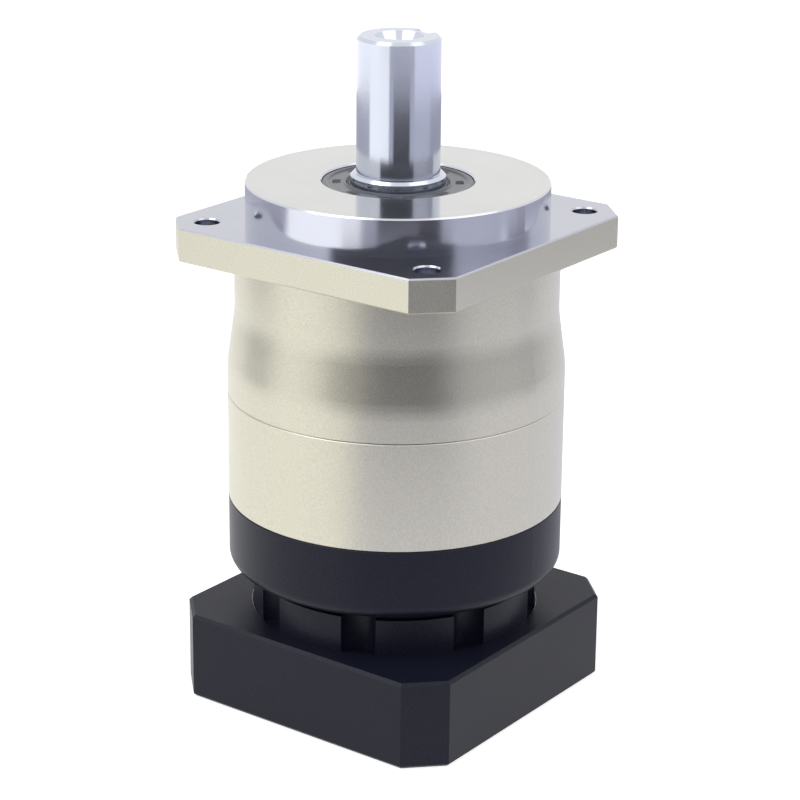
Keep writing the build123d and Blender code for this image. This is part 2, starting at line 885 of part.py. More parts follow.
def open_ring(inner, outer, bottom, thickness, gap_angle):
    """Retaining ring with a gap, in the piece in hand."""
    turn_ring(inner, outer, bottom, bottom + thickness)
    with BuildSketch(Plane.XY.offset(bottom)) as gap:
        with Locations(polar((inner + outer) / 2, radians(gap_angle))):
            Rectangle(2 * (outer - inner), 2 * (outer - inner), rotation=gap_angle)
    extrude(gap.sketch, amount=thickness, mode=Mode.SUBTRACT)


with BuildPart() as shaft_clip:
    open_ring(
        clip_groove + press_gap,
        clip_groove + shaft_clip_height,
        shaft_clip_bottom,
        shaft_clip_thickness,
        0,
    )
save(shaft_clip.part, "output_shaft_circlip")

# Output stage: planets on their pins, pressed into the output carrier
output_pin_top = output_roof_bottom + pin_seat - face_gap
for number, place in enumerate(places(output_planet_start, output_planet_count), 1):
    centre = polar(output_centre, place)
    spin = planet_spin(place, output_planet_teeth)
    with BuildPart() as planet:
        add(
            external_gear(
                output_planet_teeth, spin, 1, centre, output_planet_bottom, output_planet_top
            )
        )
        with BuildSketch(Plane(origin=(*centre, output_planet_bottom))):
            Circle(output_pin_diameter / 2 + run_gap)
        extrude(amount=output_planet_width, mode=Mode.SUBTRACT)
    save(planet.part, f"output_planet_{number}")
    with BuildPart() as pin:
        with BuildSketch(Plane(origin=(*centre, output_floor_bottom + face_gap))):
            Circle(output_pin_diameter / 2)
        extrude(amount=output_pin_top - output_floor_bottom - face_gap)
    save(pin.part, f"output_planet_pin_{number}")

# Input stage: its carrier plate has three posts and carries the output stage's sun
output_sun_bottom = output_planet_bottom - sun_overhang
output_sun_root = transverse_module * output_sun_teeth / 2 - tooth_root
post_start = input_planet_start + 180 / input_planet_count
with BuildPart() as input_carrier:
    turn(
        [
            (0, input_plate_bottom),
            (carrier_radius, input_plate_bottom),
            (carrier_radius, input_plate_top),
            (output_sun_root - sun_neck_relief, input_plate_top),
            (output_sun_root - sun_neck_relief, output_sun_bottom),
            (0, output_sun_bottom),
        ]
    )
    add(
        external_gear(
            output_sun_teeth,
            sun_spin(radians(output_planet_start), output_planet_teeth, output_sun_teeth),
            -1,
            (0, 0),
            output_sun_bottom,
            output_planet_top,
        )
    )
    post_foot = input_foot_bottom + input_carrier_foot
    for diameter, bottom in (
        (input_post_diameter, post_foot),
        (input_rivet_diameter, input_foot_bottom),
    ):
        with BuildSketch(Plane.XY.offset(bottom)):
            with PolarLocations(input_post_centre, input_planet_count, post_start):
                Circle(diameter / 2)
        extrude(amount=input_plate_bottom - bottom)
    hole_circle(
        input_pin_diameter / 2 + press_gap,
        input_centre,
        input_planet_start,
        input_planet_count,
        input_plate_bottom,
        input_plate_top,
    )
save(input_carrier.part, "input_carrier")

with BuildPart() as input_carrier_plate_ring:
    turn_ring(input_foot_bore / 2, carrier_radius, input_foot_bottom, post_foot)
    hole_circle(
        input_rivet_diameter / 2 + press_gap,
        input_post_centre,
        post_start,
        input_planet_count,
        input_foot_bottom,
        post_foot,
    )
    hole_circle(
        input_pin_diameter / 2 + press_gap,
        input_centre,
        input_planet_start,
        input_planet_count,
        input_foot_bottom,
        post_foot,
    )
save(input_carrier_plate_ring.part, "input_carrier_foot")

with BuildPart() as stage_washer:
    turn_ring(
        output_sun_root + face_gap,
        output_sun_root + face_gap + stage_washer_width,
        input_plate_top,
        input_plate_top + stage_washer_thickness,
    )
save(stage_washer.part, "stage_thrust_washer")

for number, place in enumerate(places(input_planet_start, input_planet_count), 1):
    centre = polar(input_centre, place)
    spin = planet_spin(place, input_planet_teeth)
    with BuildPart() as planet:
        add(
            external_gear(
                input_planet_teeth, spin, 1, centre, input_planet_bottom, input_planet_top
            )
        )
        with BuildSketch(Plane(origin=(*centre, input_planet_bottom))):
            Circle(input_pin_diameter / 2 + run_gap)
        extrude(amount=input_planet_width, mode=Mode.SUBTRACT)
    save(planet.part, f"input_planet_{number}")
    with BuildPart() as pin:
        with BuildSketch(Plane(origin=(*centre, input_foot_bottom))):
            Circle(input_pin_diameter / 2)
        extrude(amount=input_plate_top - input_foot_bottom)
    save(pin.part, f"input_planet_pin_{number}")

# Input shaft: a slotted hub for the motor shaft below, the input sun on top
shoulder_radius = input_seat_diameter / 2 + input_shoulder_width
shoulder_end = input_bearing_top + input_shoulder_height
input_sun_bottom = input_planet_bottom - sun_overhang
hub_top = input_seal_bottom - face_gap
input_groove = input_seat_diameter / 2 - input_clip_depth
input_clip_bottom = input_bearing_bottom - input_clip_thickness
input_neck = transverse_module * input_sun_teeth / 2 - tooth_root - sun_neck_relief
with BuildPart() as input_shaft:
    turn(
        [
            (0, hub_end),
            (hub_diameter / 2, hub_end),
            (hub_diameter / 2, hub_top),
            (input_seat_diameter / 2 - press_gap, hub_top),
            (input_seat_diameter / 2 - press_gap, input_clip_bottom - press_gap),
            (input_groove, input_clip_bottom - press_gap),
            (input_groove, input_bearing_bottom),
            (input_seat_diameter / 2 - press_gap, input_bearing_bottom),
            (input_seat_diameter / 2 - press_gap, input_bearing_top),
            (shoulder_radius, input_bearing_top),
            (shoulder_radius, shoulder_end),
            (input_neck, shoulder_end),
            (input_neck, input_sun_bottom),
            (0, input_sun_bottom),
        ]
    )
    add(
        external_gear(
            input_sun_teeth,
            sun_spin(radians(input_planet_start), input_planet_teeth, input_sun_teeth),
            -1,
            (0, 0),
            input_sun_bottom,
            input_planet_top,
        )
    )
    bore(motor_shaft_diameter / 2, hub_end, motor_bore_top)
    with BuildSketch(Plane.XY.offset(hub_end)):
        with PolarLocations(hub_diameter / 2, hub_slot_count, 90):
            Rectangle(hub_diameter - motor_shaft_diameter + 2 * cut_past, hub_slot_width)
    extrude(amount=collar_inset + collar_width + hub_slot_width, mode=Mode.SUBTRACT)
save(input_shaft.part, "input_shaft")

# Clamp collar: its screw lies in line with the access hole while the shaft is at rest
collar_inner = hub_diameter / 2 + press_gap
with BuildPart() as clamp_collar:
    turn_ring(collar_inner, collar_diameter / 2, collar_bottom, collar_bottom + collar_width)
    with BuildSketch(Plane.XY.offset(collar_bottom)):
        with Locations((0, collar_diameter / 2)):
            Rectangle(collar_slot_width, collar_diameter - hub_diameter)
    extrude(amount=collar_width, mode=Mode.SUBTRACT)
    screw_plane = Plane(origin=(-clamp_head_seat, clamp_reach, clamp_level), z_dir=(1, 0, 0))
    with BuildSketch(screw_plane):
        Circle(clamp_screw_diameter / 2 + press_gap)
    extrude(amount=clamp_screw_length + cut_past, mode=Mode.SUBTRACT)
    with BuildSketch(screw_plane):
        Circle(clamp_screw_head / 2 + counterbore_room)
    extrude(amount=-collar_diameter / 2, mode=Mode.SUBTRACT)
save(clamp_collar.part, "clamp_collar")

with BuildPart() as clamp_screw:
    socket_screw(
        clamp_screw_diameter,
        clamp_screw_head,
        clamp_screw_head_height,
        clamp_screw_length,
        screw_plane,
    )
save(clamp_screw.part, "clamp_screw")

# Input bearing, sealed on both sides, with its retaining rings and the input seal
seat = input_seat_diameter / 2
outer_race = input_bearing_outside / 2 - input_ring_width
ball_centre = (seat + input_bearing_outside / 2) / 2
ball_radius = input_ball_diameter / 2
ball_level = Plane.XY.offset((input_bearing_bottom + input_bearing_top) / 2)
with BuildPart() as input_bearing_outer:
    turn_ring(outer_race, input_bearing_outside / 2, input_bearing_bottom, input_bearing_top)
    with Locations(ball_level):
        Torus(ball_centre, ball_radius + roller_gap, mode=Mode.SUBTRACT)
save(input_bearing_outer.part, "input_bearing_outer_ring")

with BuildPart() as input_bearing_inner:
    turn_ring(seat, seat + input_ring_width, input_bearing_bottom, input_bearing_top)
    with Locations(ball_level):
        Torus(ball_centre, ball_radius + roller_gap, mode=Mode.SUBTRACT)
save(input_bearing_inner.part, "input_bearing_inner_ring")

with BuildPart(ball_level) as input_bearing_balls:
    with PolarLocations(ball_centre, input_ball_count):
        Sphere(ball_radius)
save(input_bearing_balls.part, "input_bearing_balls")

with BuildPart(ball_level) as input_bearing_cage:
    Cylinder(ball_centre + cage_thickness / 2, input_cage_height)
    Cylinder(ball_centre - cage_thickness / 2, input_cage_height, mode=Mode.SUBTRACT)
    with PolarLocations(ball_centre, input_ball_count):
        Cylinder(
            ball_radius + roller_gap,
            input_cage_height,
            rotation=(0, 90, 0),
            mode=Mode.SUBTRACT,
        )
save(input_bearing_cage.part, "input_bearing_cage")

with BuildPart() as input_bearing_shields:
    for bottom in (
        input_bearing_bottom + input_shield_inset,
        input_bearing_top - input_shield_inset - input_shield_thickness,
    ):
        turn_ring(
            seat + input_ring_width + run_gap,
            outer_race - press_gap,
            bottom,
            bottom + input_shield_thickness,
        )
save(input_bearing_shields.part, "input_bearing_shields")

with BuildPart() as input_housing_clip:
    open_ring(
        input_bearing_outside / 2 + housing_clip_depth - housing_clip_width,
        input_bearing_outside / 2 + housing_clip_depth - press_gap,
        input_bearing_top,
        housing_clip_thickness,
        0,
    )
save(input_housing_clip.part, "input_housing_circlip")

with BuildPart() as input_shaft_clip:
    open_ring(
        input_groove + press_gap,
        input_groove + input_clip_height,
        input_clip_bottom,
        input_clip_thickness,
        0,
    )
save(input_shaft_clip.part, "input_shaft_circlip")

with BuildPart() as input_seal:
    turn(
        [
            (input_seal_outside / 2, input_seal_bottom),
            (input_seal_outside / 2, input_seal_top),
            (input_seal_outside / 2 - seal_lip_wall / 2, input_seal_top),
            (input_seal_outside / 2 - seal_lip_wall / 2, input_seal_bottom + seal_lip_wall),
            (seat + run_gap + seal_lip_wall, input_seal_bottom + seal_lip_wall),
            (seat + run_gap + seal_lip_wall / 2, input_seal_top - seal_lip_wall),
            (seat + run_gap, input_seal_top - seal_lip_wall),
            (seat + run_gap, input_seal_bottom),
        ]
    )
save(input_seal.part, "input_seal")
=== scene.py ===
"""Looks of an inline helical planetary gearbox with a square output flange.

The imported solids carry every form. This script gives each one its finish, adds the
moulded face of the output seal and the screw threads as surfaces worked out with
numpy, and sets the gearbox on a pale floor under soft light.
"""

from __future__ import annotations

import logging
import math
from dataclasses import dataclass, field
from enum import Enum
from typing import Sequence

import bpy
import numpy as np
from mathutils import Matrix, Vector

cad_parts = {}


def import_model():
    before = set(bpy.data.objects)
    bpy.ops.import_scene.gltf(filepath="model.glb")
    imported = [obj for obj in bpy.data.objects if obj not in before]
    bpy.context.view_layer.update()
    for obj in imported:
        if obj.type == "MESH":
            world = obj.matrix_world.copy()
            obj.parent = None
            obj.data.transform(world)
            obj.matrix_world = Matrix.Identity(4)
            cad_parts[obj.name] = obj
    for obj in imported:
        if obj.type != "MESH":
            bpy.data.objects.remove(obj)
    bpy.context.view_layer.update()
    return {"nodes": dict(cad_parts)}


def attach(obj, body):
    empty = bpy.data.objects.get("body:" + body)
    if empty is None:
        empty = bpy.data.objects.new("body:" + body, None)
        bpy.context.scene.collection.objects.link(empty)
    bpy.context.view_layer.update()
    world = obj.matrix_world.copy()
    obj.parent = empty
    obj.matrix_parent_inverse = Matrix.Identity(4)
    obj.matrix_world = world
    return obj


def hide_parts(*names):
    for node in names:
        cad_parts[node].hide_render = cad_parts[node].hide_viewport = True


LOG = logging.getLogger("gearbox")
Colour = tuple[float, float, float]
MM = 0.001

# Height in metres above every piece, for a band that has no upper edge.
OPEN_TOP = 1.0

# Slow change of shade and roughness over a surface: cells per metre and octaves.
CLOUD_CELLS = 60.0
CLOUD_DETAIL = 3.0

# A speckle above this share follows the fine grain, and a weaker one the slow cloud.
FINE_SPECKLE = 0.1
SPECKLE_EDGE = 0.5
SPECKLE_BLUR = 0.2

# Rows for each pitch of a thread, and columns round it.
THREAD_ROWS = 6
THREAD_COLUMNS = 32

# Points along each edge of a card, and how much bluer than grey the cards glow.
CARD_POINTS = 32
CARD_BLUE = 1.15


class Lay(Enum):
    """Direction in which a cut surface carries its fine marks."""

    NONE = "none"
    RINGS = "rings"
    TURNS = "turns"


class Graph:
    """Node tree of one material, with short calls for the nodes it uses."""

    def __init__(self, name: str) -> None:
        """Starts an empty tree.

        Args:
            name: name of the new material.
        """
        self.material = bpy.data.materials.new(name)
        self.material.use_nodes = True
        self.nodes = self.material.node_tree.nodes
        self.links = self.material.node_tree.links
        self.nodes.clear()
        self.output = self.nodes.new("ShaderNodeOutputMaterial")
        self.place = self.nodes.new("ShaderNodeTexCoord").outputs["Object"]

    def feed(self, socket: bpy.types.NodeSocket, value: object) -> None:
        """Links a socket to another one, or sets its number or colour.

        Args:
            socket: the input to fill.
            value: an output socket, a number or a colour.
        """
        if isinstance(value, bpy.types.NodeSocket):
            self.links.new(value, socket)
        elif isinstance(value, tuple) and len(value) == 3 and socket.type == "RGBA":
            socket.default_value = (*value, 1.0)
        else:
            socket.default_value = value

    def maths(self, operation: str, *values: object) -> bpy.types.NodeSocket:
        """Adds a Math node.

        Args:
            operation: Blender's name of the operation.
            values: one to three sockets or numbers.

        Returns:
            The result's socket.
        """
        node = self.nodes.new("ShaderNodeMath")
        node.operation = operation
        for socket, value in zip(node.inputs, values):
            self.feed(socket, value)
        return node.outputs[0]

    def axes(self) -> tuple[bpy.types.NodeSocket, bpy.types.NodeSocket, bpy.types.NodeSocket]:
        """Splits the place of the shaded point.

        Returns:
            The X, Y and Z sockets, in metres.
        """
        node = self.nodes.new("ShaderNodeSeparateXYZ")
        self.links.new(self.place, node.inputs[0])
        return node.outputs[0], node.outputs[1], node.outputs[2]

    def length(self, across: object, along: object) -> bpy.types.NodeSocket:
        """Length of a flat vector.

        Args:
            across: its first part, as a socket.
            along: its second part, as a socket.

        Returns:
            The length's socket.
        """
        first = self.maths("MULTIPLY", across, across)
        second = self.maths("MULTIPLY", along, along)
        return self.maths("SQRT", self.maths("ADD", first, second))

    def radius(self) -> bpy.types.NodeSocket:
        """Returns the distance of the shaded point from the Z axis, in metres."""
        across, along, _ = self.axes()
        return self.length(across, along)

    def invert(self, value: object) -> bpy.types.NodeSocket:
        """Returns the socket of one less a value."""
        return self.maths("SUBTRACT", 1.0, value)

    def step(self, value: object, edge: float, blur: float) -> bpy.types.NodeSocket:
        """Smooth step from 0 to 1 about an edge.

        Args:
            value: the socket to test.
            edge: where the step lies.
            blur: half its width.

        Returns:
            The step's socket.
        """
        node = self.nodes.new("ShaderNodeMapRange")
        node.interpolation_type = "SMOOTHSTEP"
        self.feed(node.inputs["Value"], value)
        node.inputs["From Min"].default_value = edge - blur
        node.inputs["From Max"].default_value = edge + blur
        return node.outputs["Result"]

    def noise(self, vector: object, scale: float, detail: float = 2.0) -> bpy.types.NodeSocket:
        """Noise from 0 to 1.

        Args:
            vector: place to read, as a socket.
            scale: noise cells per metre.
            detail: octaves.

        Returns:
            The noise's socket.
        """
        node = self.nodes.new("ShaderNodeTexNoise")
        self.feed(node.inputs["Vector"], vector)
        node.inputs["Scale"].default_value = scale
        node.inputs["Detail"].default_value = detail
        return node.outputs["Fac"]

    def vector(self, x: object, y: object, z: object) -> bpy.types.NodeSocket:
        """Joins three numbers or sockets to a vector.

        Args:
            x: first part.
            y: second part.
            z: third part.

        Returns:
            The vector's socket.
        """
        node = self.nodes.new("ShaderNodeCombineXYZ")
        for socket, value in zip(node.inputs, (x, y, z)):
            self.feed(socket, value)
        return node.outputs[0]

    def mix(self, share: object, low: object, high: object) -> bpy.types.NodeSocket:
        """Mixes two colours.

        Args:
            share: 0 for the first colour, 1 for the second.
            low: first colour or socket.
            high: second colour or socket.

        Returns:
            The mixed colour's socket.
        """
        node = self.nodes.new("ShaderNodeMix")
        node.data_type = "RGBA"
        self.feed(node.inputs["Factor"], share)
        self.feed(node.inputs["A"], low)
        self.feed(node.inputs["B"], high)
        return node.outputs["Result"]

    def blend(self, share: object, low: object, high: object) -> bpy.types.NodeSocket:
        """Mixes two shaders.

        Args:
            share: 0 for the first shader, 1 for the second.
            low: first shader's socket.
            high: second shader's socket.

        Returns:
            The mixed shader's socket.
        """
        node = self.nodes.new("ShaderNodeMixShader")
        self.feed(node.inputs[0], share)
        self.feed(node.inputs[1], low)
        self.feed(node.inputs[2], high)
        return node.outputs[0]

    def finish(self, shader: bpy.types.NodeSocket) -> bpy.types.Material:
        """Ends the tree with a shader and returns the material."""
        self.links.new(shader, self.output.inputs["Surface"])
        return self.material


@dataclass(frozen=True)
class Metal:
    """Finish of a metal surface, with its grain and its cutting marks.

    Attributes:
        colour: base colour.
        roughness: mean roughness.
        spread: how far the roughness wanders about the mean.
        grain: grain cells per metre, 0 for none.
        grain_depth: height of the grain in metres.
        lay: direction of the fine cutting marks.
        marks: marks per metre.
        marks_depth: height of the marks in metres.
        metallic: 1 for bare metal, 0 for a coloured layer over it.
        specular: strength of the mirror layer over a coloured one, where 0.5 is usual.
        speckle: how much darker the darkest spots of the colour are, as a share.
    """

    colour: Colour
    roughness: float
    spread: float = 0.03
    grain: float = 0.0
    grain_depth: float = 0.0
    lay: Lay = Lay.NONE
    marks: float = 9000.0
    marks_depth: float = 0.0
    metallic: float = 1.0
    specular: float = 0.5
    speckle: float = 0.04

    def shader(self, graph: Graph) -> bpy.types.NodeSocket:
        """Adds this finish to a tree.

        Args:
            graph: the material's tree.

        Returns:
            The shader's socket.
        """
        cloud = graph.noise(graph.place, CLOUD_CELLS, CLOUD_DETAIL)
        shade = graph.nodes.new("ShaderNodeBsdfPrincipled")
        low = tuple((1.0 - self.speckle) * value for value in self.colour)
        spots = cloud
        if self.speckle > FINE_SPECKLE:
            spots = graph.noise(graph.place, self.grain, 1.0)
        spots = graph.step(spots, SPECKLE_EDGE, SPECKLE_BLUR)
        graph.feed(shade.inputs["Base Color"], graph.mix(spots, low, self.colour))
        shade.inputs["Metallic"].default_value = self.metallic
        shade.inputs["Specular IOR Level"].default_value = self.specular
        wander = graph.maths("MULTIPLY_ADD", cloud, 2.0 * self.spread, self.roughness - self.spread)
        graph.feed(shade.inputs["Roughness"], wander)
        height, depth = None, 0.0
        if self.lay is not Lay.NONE:
            along = graph.radius() if self.lay is Lay.RINGS else graph.axes()[2]
            height = graph.noise(graph.vector(along, 0.0, 0.0), self.marks, 1.0)
            depth = self.marks_depth
        elif self.grain:
            height = graph.noise(graph.place, self.grain, 1.0)
            depth = self.grain_depth
        if height is not None:
            bump = graph.nodes.new("ShaderNodeBump")
            bump.inputs["Distance"].default_value = depth
            graph.feed(bump.inputs["Height"], height)
            graph.links.new(bump.outputs[0], shade.inputs["Normal"])
        return shade.outputs[0]

    def material(self, name: str) -> bpy.types.Material:
        """Returns a material that has this finish all over."""
        graph = Graph(name)
        return graph.finish(self.shader(graph))


PLATED = Metal((0.64, 0.62, 0.515), 0.34, 0.02, grain=2600.0, grain_depth=0.000035, speckle=0.12)
FACED = Metal((0.68, 0.68, 0.665), 0.13, 0.02, lay=Lay.RINGS, marks=5200.0, marks_depth=0.0000035)
# The cut finish at about four fifths of its colour, for the flange's upper face: painted shade.
CUT_PAINTED_SHADE = Metal((0.52, 0.53, 0.60), 0.16, 0.02, lay=Lay.RINGS, marks=6000.0, marks_depth=0.000003)
CUT = Metal((0.64, 0.66, 0.74), 0.16, 0.03, lay=Lay.RINGS, marks=6000.0, marks_depth=0.000003)
GROUND = Metal((0.64, 0.675, 0.77), 0.14, 0.03, lay=Lay.TURNS, marks=7000.0, marks_depth=0.000003)
BLACK = Metal(
    (0.0115, 0.0135, 0.030), 0.38, 0.03, grain=3000.0, grain_depth=0.00003, metallic=0.0,
    specular=0.22, speckle=0.5,
)
EDGE = Metal((0.62, 0.63, 0.66), 0.25, 0.03, grain=3200.0, grain_depth=0.00001)
RUBBER = Metal((0.014, 0.015, 0.02), 0.42, 0.04, grain=1800.0, grain_depth=0.00001, metallic=0.0)
# Rubber of the output seal's face, about seven times lighter than the black rubber. Its lighter
# base is painted sheen that stands in for the face's bright grazing reflection.
RUBBER_PAINTED_SHEEN = Metal((0.10, 0.106, 0.13), 0.24, 0.03, grain=1800.0, grain_depth=0.000004, metallic=0.0)
BEARING = Metal((0.62, 0.63, 0.65), 0.12, 0.03, lay=Lay.TURNS, marks=8000.0, marks_depth=0.000002)
TOOTH = Metal((0.5, 0.5, 0.51), 0.26, 0.05, lay=Lay.TURNS, marks=5000.0, marks_depth=0.000004)
SPRING = Metal((0.12, 0.13, 0.15), 0.35, 0.05, grain=2500.0, grain_depth=0.00001)
OXIDE = Metal((0.03, 0.03, 0.035), 0.36, 0.05, grain=2500.0, grain_depth=0.00001)
ZINC = Metal((0.5, 0.51, 0.54), 0.28, 0.04, lay=Lay.TURNS, marks=4000.0, marks_depth=0.000003)
BRONZE = Metal((0.5, 0.32, 0.13), 0.4, 0.05, grain=2500.0, grain_depth=0.00002)
NYLON = Metal((0.06, 0.055, 0.045), 0.5, 0.05, grain=1500.0, grain_depth=0.00001, metallic=0.0)


@dataclass(frozen=True)
class Band:
    """Part of a turned piece, between two heights and outside a radius.

    Attributes:
        bottom: lower height in metres.
        top: upper height in metres.
        inner: inner radius in metres.
        blur: half the width of its edges in metres.
    """

    bottom: float
    top: float
    inner: float = 0.0
    blur: float = 0.00003

    def mask(self, graph: Graph) -> bpy.types.NodeSocket:
        """Marks the band in a tree.

        Args:
            graph: the material's tree.

        Returns:
            The socket of a mask, 1 inside the band and 0 outside it.
        """
        _, _, height = graph.axes()
        above = graph.step(height, self.bottom, self.blur)
        below = graph.invert(graph.step(height, self.top, self.blur))
        inside = graph.maths("MULTIPLY", above, below)
        if not self.inner:
            return inside
        return graph.maths("MULTIPLY", inside, graph.step(graph.radius(), self.inner, self.blur))


def surface(name: str, points: np.ndarray, finish: bpy.types.Material) -> bpy.types.Object:
    """Makes a mesh of a grid of points that closes on itself across its columns.

    Args:
        name: name of the piece.
        points: array of rows, columns and X, Y, Z in metres, where the last column meets
            the first one and the faces look to the right of rising rows.
        finish: material of the piece.

    Returns:
        The new object, at the origin.
    """
    rows, columns = points.shape[:2]
    index = np.arange(rows * columns).reshape(rows, columns)
    around = np.roll(index, -1, axis=1)
    quads = np.stack([index[:-1], around[:-1], around[1:], index[1:]], axis=-1).reshape(-1, 4)
    mesh = bpy.data.meshes.new(name)
    mesh.from_pydata(points.reshape(-1, 3).tolist(), [], quads.tolist())
    mesh.update()
    mesh.polygons.foreach_set("use_smooth", np.ones(len(mesh.polygons), dtype=bool))
    mesh.materials.append(finish)
    piece = bpy.data.objects.new(name, mesh)
    bpy.context.scene.collection.objects.link(piece)
    return piece


def cylinder_points(radii: np.ndarray, heights: np.ndarray, angles: np.ndarray) -> np.ndarray:
    """Turns radius, height and angle arrays of one shape into X, Y, Z.

    Formula: x = radius cos(angle), y = radius sin(angle), z = height.

    Args:
        radii: radii in metres.
        heights: heights in metres.
        angles: angles in radians.

    Returns:
        Array with a last axis of X, Y and Z.
    """
    return np.stack([radii * np.cos(angles), radii * np.sin(angles), heights], axis=-1)


@dataclass
class OutputHousing:
    """Plated housing with a bare flange, pilot and screw holes.

    Attributes:
        flange_top: height of the flange's upper face.
        pilot_top: height of the pilot's upper face.
        edge: how far bare metal reaches below the flange's upper face.
        skim: how far a faced surface's finish reaches past it.
        hole_circle: radius of the circle of screw holes.
        hole_reach: radius of bare metal about each hole.
        inside: radius within which the housing is bare.
        blur: half the width of that inner edge.
    """

    flange_top: float = 132 * MM
    pilot_top: float = 142 * MM
    edge: float = 0.4 * MM
    skim: float = 0.02 * MM
    hole_circle: float = 50 * MM
    hole_reach: float = 4 * MM
    inside: float = 37 * MM
    blur: float = 0.1 * MM

    def dress(self, nodes: dict[str, bpy.types.Object]) -> None:
        """Gives the housing its plating, and bare metal where it is cut after plating.

        Args:
            nodes: packed objects by name.
        """
        graph = Graph("output_housing_finish")
        flange = Band(self.flange_top - self.edge, self.pilot_top - self.skim).mask(graph)
        corner = self.hole_circle / math.sqrt(2)
        across, along, _ = graph.axes()
        dx = graph.maths("SUBTRACT", graph.maths("ABSOLUTE", across), corner)
        dy = graph.maths("SUBTRACT", graph.maths("ABSOLUTE", along), corner)
        near_hole = graph.maths("LESS_THAN", graph.length(dx, dy), self.hole_reach)
        hollow = graph.invert(graph.step(graph.radius(), self.inside, self.blur))
        bare = graph.maths("MAXIMUM", graph.maths("MAXIMUM", flange, near_hole), hollow)
        top = Band(self.pilot_top - self.skim, OPEN_TOP).mask(graph)
        # The flange's upper face and its top edge take the darker copy of the cut finish, a painted
        # shade.
        shaded_shelf = Band(self.flange_top - self.edge, self.flange_top + self.skim).mask(graph)
        metal = graph.blend(shaded_shelf, CUT.shader(graph), CUT_PAINTED_SHADE.shader(graph))
        body = graph.blend(bare, PLATED.shader(graph), metal)
        whole = graph.blend(top, body, FACED.shader(graph))
        assign(nodes["output_housing"], graph.finish(whole))


@dataclass
class RingGearHousing:
    """Plated ring with bare seams, spigots and teeth.

    Attributes:
        bottom: height of the lower seam.
        top: height of the upper seam.
        skin: radius outside which the ring is plated.
        seam: width of bare metal along each seam.
    """

    bottom: float = 55.5 * MM
    top: float = 84.7 * MM
    skin: float = 44.5 * MM
    seam: float = 0.12 * MM

    def dress(self, nodes: dict[str, bpy.types.Object]) -> None:
        """Plates the outside and leaves the rest bare.

        Args:
            nodes: packed objects by name.
        """
        graph = Graph("ring_gear_finish")
        plated = Band(self.bottom + self.seam, self.top - self.seam, self.skin).mask(graph)
        shader = graph.blend(plated, TOOTH.shader(graph), PLATED.shader(graph))
        assign(nodes["ring_gear_housing"], graph.finish(shader))


@dataclass
class InputSide:
    """Black motor adapter and input housing, with the plug and the screws.

    Attributes:
        register_top: height of the adapter's upper face.
        register_radius: radius of the opening in it.
        edge: width of bare metal round that opening.
        edge_blur: half the width of the bare metal's outer edge.
        bore_radius: radius within which the input housing is bare.
        bore_blur: half the width of that inner edge.
    """

    register_top: float = 24 * MM
    register_radius: float = 38.5 * MM
    edge: float = 0.45 * MM
    edge_blur: float = 0.05 * MM
    bore_radius: float = 26 * MM
    bore_blur: float = 0.1 * MM

    def dress(self, nodes: dict[str, bpy.types.Object]) -> None:
        """Blackens both pieces and leaves the opening's edge bare.

        Args:
            nodes: packed objects by name.
        """
        graph = Graph("motor_adapter_finish")
        reach = self.register_radius + self.edge
        near = graph.invert(graph.step(graph.radius(), reach, self.edge_blur))
        mouth = Band(self.register_top - self.edge, OPEN_TOP).mask(graph)
        bare = graph.maths("MULTIPLY", near, mouth)
        shader = graph.blend(bare, BLACK.shader(graph), EDGE.shader(graph))
        assign(nodes["motor_adapter"], graph.finish(shader))
        graph = Graph("input_housing_finish")
        hollow = graph.invert(graph.step(graph.radius(), self.bore_radius, self.bore_blur))
        shader = graph.blend(hollow, BLACK.shader(graph), CUT.shader(graph))
        assign(nodes["input_housing"], graph.finish(shader))
        assign(nodes["access_plug"], ZINC.material("plug_finish"))
        screw = OXIDE.material("screw_finish")
        for name in ("housing_screws", "adapter_screws", "clamp_screw"):
            assign(nodes[name], screw)


@dataclass
class Inside:
    """Gears, carriers, shafts, bearings and rings inside the housings."""

    finishes: dict[str, Metal] = field(
        default_factory=lambda: {
            "output_carrier": GROUND,
            "input_shaft": GROUND,
            "clamp_collar": CUT,
            "input_carrier_foot": CUT,
            "bearing_clamp_ring": CUT,
            "bearing_spacer": CUT,
            "input_carrier": TOOTH,
            "output_planet_": TOOTH,
            "input_planet_": TOOTH,
            "output_planet_pin_": BEARING,
            "input_planet_pin_": BEARING,
            "front_bearing_": BEARING,
            "rear_bearing_": BEARING,
            "input_bearing_": BEARING,
            "input_bearing_shields": RUBBER,
            "input_seal": RUBBER,
            "output_seal": RUBBER,
            "front_bearing_cage": NYLON,
            "rear_bearing_cage": NYLON,
            "input_bearing_cage": NYLON,
            "output_shaft_circlip": SPRING,
            "input_shaft_circlip": SPRING,
            "input_housing_circlip": SPRING,
            "stage_thrust_washer": BRONZE,
        }
    )

    def dress(self, nodes: dict[str, bpy.types.Object]) -> None:
        """Gives every inner piece the finish whose name begins its own, the longest first.

        Args:
            nodes: packed objects by name.
        """
        made: dict[str, bpy.types.Material] = {}
        for name, node in nodes.items():
            fitting = [key for key in self.finishes if name.startswith(key)]
            if not fitting:
                continue
            key = max(fitting, key=len)
            if key not in made:
                made[key] = self.finishes[key].material(key.rstrip("_") + "_finish")
            assign(node, made[key])


